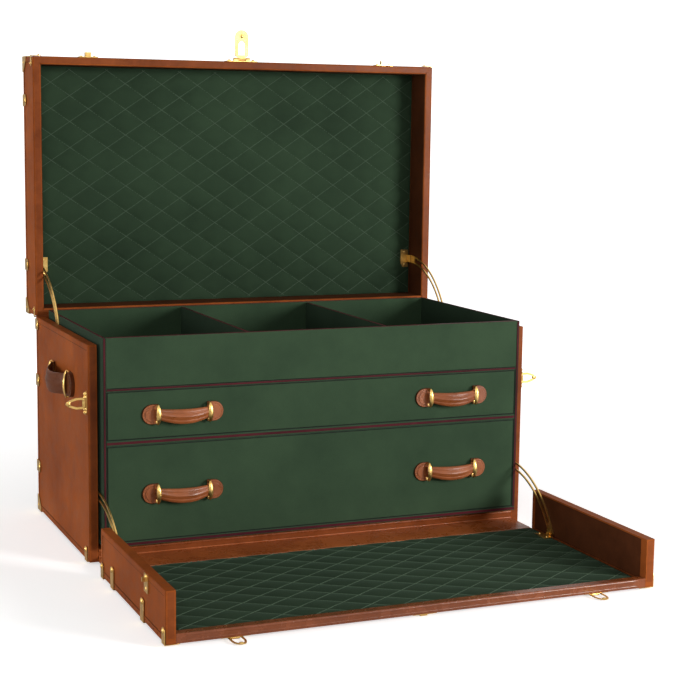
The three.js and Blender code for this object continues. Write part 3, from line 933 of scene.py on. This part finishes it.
def latch_noses():
    """The rounded weight of brass at the tip of each latch loop."""
    radius = 4.4
    for name, side in SIDES:
        low, high = cad(f"side_latch_loop_{name}")
        nose = Form()
        tip = (low if side < 0 else high)[0] - side * 5.0
        for out, rise in ((-1, 1.0), (1, 3.0)):
            y = (high if out > 0 else low)[1]
            nose.dome((tip, y - out * 0.2, (low[2] + high[2]) / 2), (0, out, 0), radius, rise)
        piece(f"side_latch_nose_{name}", nose, BRASS, f"side_latch_{name}")
        low, high = cad(f"front_latch_loop_{name}")
        nose = Form()
        tip = ((low[0] + high[0]) / 2, low[1] + 4.8, high[2] - 0.4)
        nose.dome(tip, (0, 0, 1), radius, 1.8)
        piece(f"front_latch_nose_{name}", nose, BRASS, f"front_latch_{name}")


def screw_heads():
    """Dome-headed screws on the plates, catches and brackets."""
    trunk, lid, front = Form(), Form(), Form()
    small, medium, large, knob = (2.6, 1.5), (3.0, 2.4), (4.0, 3.4), (4.3, 5.0)  # radius, rise
    end_margin = 6
    hasp_screw_x = 27
    for name, side in SIDES:
        low, high = cad(f"side_latch_plate_{name}")
        middle = [(a + b) / 2 for a, b in zip(low, high)]
        for z in (-17, -11, 11, 17):
            trunk.dome((side * (HALF + 2.5), middle[1], middle[2] + z), (side, 0, 0), *knob)
        low, high = cad(f"lid_catch_{name}")
        for x in (low[0] + 5, high[0] - 5):
            lid.dome((x, (low[1] + high[1]) / 2, LID_HIGH[2] + 2), (0, 0, 1), *medium)
        low, high = cad(f"lid_stay_bracket_{name}")
        for z in (low[2] + end_margin, high[2] - end_margin):
            place = (side * SCREW_X["lid_stay_bracket"], cad("lid_quilt")[0][1] - 2.5, z)
            lid.dome(place, (0, -1, 0), *small)
        low, high = cad(f"front_stay_bracket_{name}")
        for y in (low[1] + end_margin, high[1] - end_margin):
            place = (side * SCREW_X["front_stay_bracket"], y, cad("front_quilt")[1][2] + 2.3)
            front.dome(place, (0, 0, 1), *small)
        low, high = cad(f"cheek_catch_{name}")
        for z, rise in ((low[2] + end_margin, 1.1), (high[2] - 5, 2.6)):
            front.dome((side * (HALF + 2.3), (low[1] + high[1]) / 2, z), (side, 0, 0), 4.2, rise)
    for _, side in SIDES:
        lid.dome((side * hasp_screw_x, LID_LOW[1] + 11, LID_HIGH[2] + 2), (0, 0, 1), *large)
    piece("body_screws", trunk, BRASS, "trunk")
    piece("lid_screws", lid, BRASS, "lid")
    piece("front_screws", front, BRASS, "front")


def hardware():
    """All of the brass: the CAD nodes' metal, then the clips, noses and screws."""
    metal = ("stay", "latch", "catch", "hasp", "lock", "stud")
    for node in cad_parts:
        if any(word in node for word in metal):
            dress(node, BRASS, 0.45)
    shell_clips()
    latch_noses()
    screw_heads()


# ------------------------------------------------------------------ studio
def studio():
    """A sky, three lamps and a pale floor, which only the camera sees brighten with distance."""
    half = 30
    around = ((-1, -1), (1, -1), (1, 1), (-1, 1))
    floor = bpy.data.meshes.new("floor")
    floor.from_pydata([(x * half, y * half, 0) for x, y in around], [], [(0, 1, 2, 3)])
    ground = bpy.data.objects.new("floor", floor)
    bpy.context.collection.objects.link(ground)
    material, tree, bsdf = shader("pale_floor")
    bsdf.inputs["Base Color"].default_value = (0.93, 0.93, 0.93, 1)
    bsdf.inputs["Roughness"].default_value = 0.8
    bsdf.inputs["Emission Color"].default_value = (1, 1, 1, 1)
    place = tree.nodes.new("ShaderNodeTexCoord")
    reach = tree.nodes.new("ShaderNodeVectorMath")
    reach.operation = "LENGTH"
    tree.links.new(place.outputs["Object"], reach.inputs[0])
    scale = tree.nodes.new("ShaderNodeMapRange")
    tree.links.new(reach.outputs["Value"], scale.inputs["Value"])
    for key, value in (("From Min", 0.6), ("From Max", 2.2), ("To Min", 0.55), ("To Max", 1.0)):
        scale.inputs[key].default_value = value
    seen = tree.nodes.new("ShaderNodeLightPath")
    lift = tree.nodes.new("ShaderNodeMath")
    lift.operation = "MULTIPLY"
    tree.links.new(scale.outputs["Result"], lift.inputs[0])
    tree.links.new(seen.outputs["Is Camera Ray"], lift.inputs[1])
    tree.links.new(lift.outputs["Value"], bsdf.inputs["Emission Strength"])
    floor.materials.append(material)
    ground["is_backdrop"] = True
    world = bpy.data.worlds.new("studio")
    world.use_nodes = True
    light_sky(world.node_tree)
    bpy.context.scene.world = world
    area_light("key", (2.7, -3.4, 1.2), 1.2, 158)
    area_light("left", (-3.6, 0.55, 0.55), 0.9, 52)
    area_light("front", (-1.6, -3.6, 1.9), 1.0, 32)


def light_sky(tree):
    """A white backdrop to look at, a much dimmer even light, and a bright top for reflections."""
    white = tree.nodes["Background"]
    white.inputs["Color"].default_value = (1, 1, 1, 1)
    white.inputs["Strength"].default_value = 1.4
    soft = tree.nodes.new("ShaderNodeBackground")
    soft.inputs["Color"].default_value = (1, 0.98, 0.95, 1)
    place = tree.nodes.new("ShaderNodeTexCoord")
    height = tree.nodes.new("ShaderNodeSeparateXYZ")
    tree.links.new(place.outputs["Generated"], height.inputs["Vector"])
    glow = tree.nodes.new("ShaderNodeMapRange")
    tree.links.new(height.outputs["Z"], glow.inputs["Value"])
    for key, value in (("From Min", -0.1), ("From Max", 0.5), ("To Min", 0.1), ("To Max", 0.85)):
        glow.inputs[key].default_value = value
    seen = tree.nodes.new("ShaderNodeLightPath")
    shine = tree.nodes.new("ShaderNodeMath")
    shine.operation = "MULTIPLY"
    tree.links.new(glow.outputs["Result"], shine.inputs[0])
    tree.links.new(seen.outputs["Is Glossy Ray"], shine.inputs[1])
    total = tree.nodes.new("ShaderNodeMath")
    total.inputs[1].default_value = 0.19
    tree.links.new(shine.outputs["Value"], total.inputs[0])
    tree.links.new(total.outputs["Value"], soft.inputs["Strength"])
    mix = tree.nodes.new("ShaderNodeMixShader")
    tree.links.new(seen.outputs["Is Camera Ray"], mix.inputs["Fac"])
    tree.links.new(soft.outputs["Background"], mix.inputs[1])
    tree.links.new(white.outputs["Background"], mix.inputs[2])
    tree.links.new(mix.outputs["Shader"], tree.nodes["World Output"].inputs["Surface"])


def area_light(name, place, size, power):
    """A square lamp that faces the middle of the open trunk."""
    light = bpy.data.lights.new(name, "AREA")
    light.energy = power
    light.size = size
    lamp = bpy.data.objects.new(name, light)
    lamp.location = place
    aim = Vector((0, 0, 0.45)) - Vector(place)
    lamp.rotation_euler = aim.to_track_quat("-Z", "Y").to_euler()
    bpy.context.collection.objects.link(lamp)


def camera():
    """Three-quarter view from the front left, slightly above."""
    yaw, pitch, roll = 0.399213, 0.136353, 0.012798
    ahead = Vector((math.sin(yaw) * math.cos(pitch), math.cos(yaw) * math.cos(pitch), -math.sin(pitch)))
    level = Vector((math.cos(yaw), -math.sin(yaw), 0))
    above = level.cross(ahead)
    right = level * math.cos(roll) + above * math.sin(roll)
    up = above * math.cos(roll) - level * math.sin(roll)
    lens = bpy.data.cameras.new("camera")
    lens.lens = 83.11
    lens.sensor_width = 36
    made = bpy.data.objects.new("camera", lens)
    turn = Matrix((right, up, -ahead)).transposed().to_4x4()
    place = Vector((-1.1247, (-2775.2 + FRONT) / 1000, 0.8183))
    made.matrix_world = Matrix.Translation(place) @ turn
    bpy.context.collection.objects.link(made)
    bpy.context.scene.camera = made


camera()
studio()
bpy.context.scene.view_settings.view_transform = "Standard"
shell()
fitted_case()
linings()
grips()
hardware()

sizes = {"cad": cad_bounds, "visual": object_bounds()}
{key: [list(corner) for corner in value] for key, value in sizes.items()}
